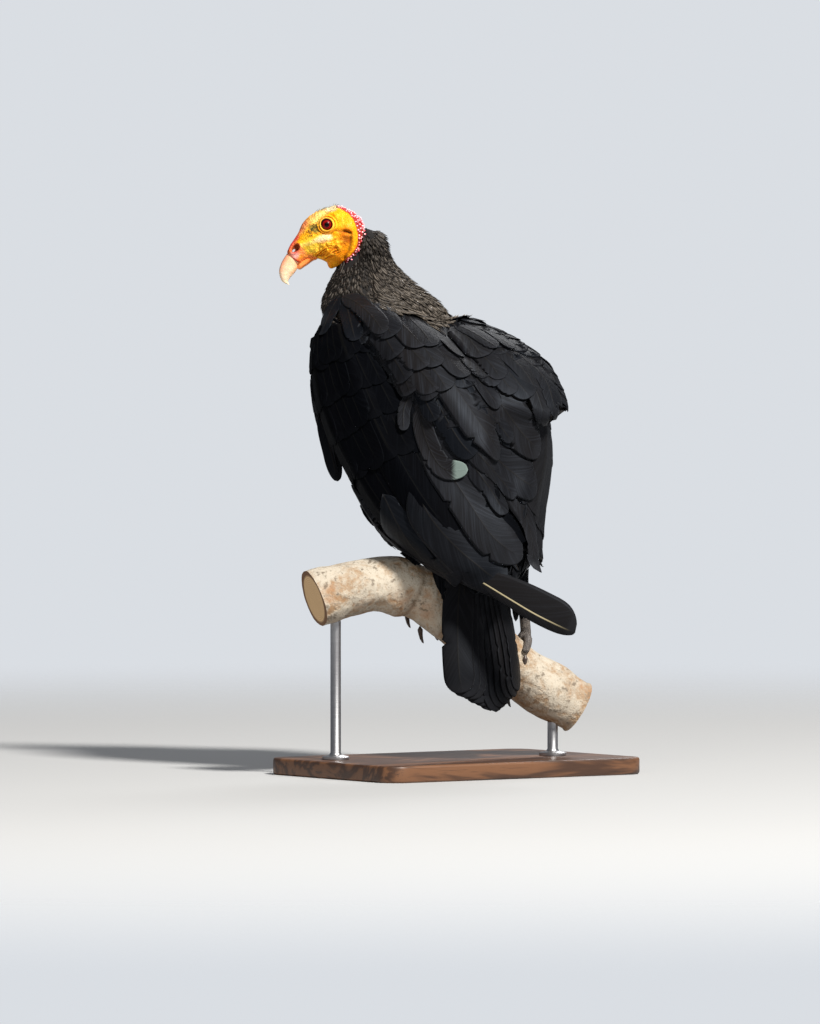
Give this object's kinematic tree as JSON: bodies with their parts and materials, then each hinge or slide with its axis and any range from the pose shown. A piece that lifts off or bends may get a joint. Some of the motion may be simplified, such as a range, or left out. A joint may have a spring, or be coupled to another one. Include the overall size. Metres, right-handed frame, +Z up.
{
  "type": "vulture model on a branch stand",
  "caption": "Life-size black vulture with a bare yellow head, perched at rest on a cut branch held by a flat display stand.",
  "frame": {"origin": "centre of the stance, on the underside of the stand's base, which rests on the floor", "axes": "+Z up, -Y the way the bird's body faces, +X the bird's left"},
  "size_m": [0.3, 0.3145, 0.542],
  "materials": {
    "plumage": "soft black feathers with a faint blue and brown sheen",
    "quill": "stiff black flight feathers, slightly glossy",
    "mantle": "short velvety brown-black neck feathers",
    "face": "bare wrinkled yellow-orange skin with a red crown edge",
    "horn": "smooth ivory horn",
    "eye": "wet dark red eye with a black pupil",
    "scale": "dark grey scaled skin",
    "claw": "dark horn",
    "bark": "pale bark with lichen patches and sawn ends",
    "wood": "satin oiled wood",
    "steel": "satin"
  },
  "bodies": {
    "root": {"alula_left": "quill", "alula_right": "quill", "bill_lower": "horn", "bill_upper": "horn", "claw_left_hind": "claw", "claw_left_inner": "claw", "claw_left_middle": "claw", "claw_left_outer": "claw", "claw_right_hind": "claw", "claw_right_inner": "claw", "claw_right_middle": "claw", "claw_right_outer": "claw", "eye_left": "eye", "eye_right": "eye", "foot_left": "scale", "foot_right": "scale", "head": "face", "neck": "mantle", "perch_branch": "bark", "primaries_left": "quill", "primaries_right": "quill", "scapulars_left": "plumage", "scapulars_right": "plumage", "stand_base": "wood", "stand_rod_left": "steel", "stand_rod_right": "steel", "tail": "quill", "tarsus_left": "scale", "tarsus_right": "scale", "thigh_left": "plumage", "thigh_right": "plumage", "trunk": "plumage", "wing_left": "plumage", "wing_right": "plumage"}
  },
  "joints": []
}
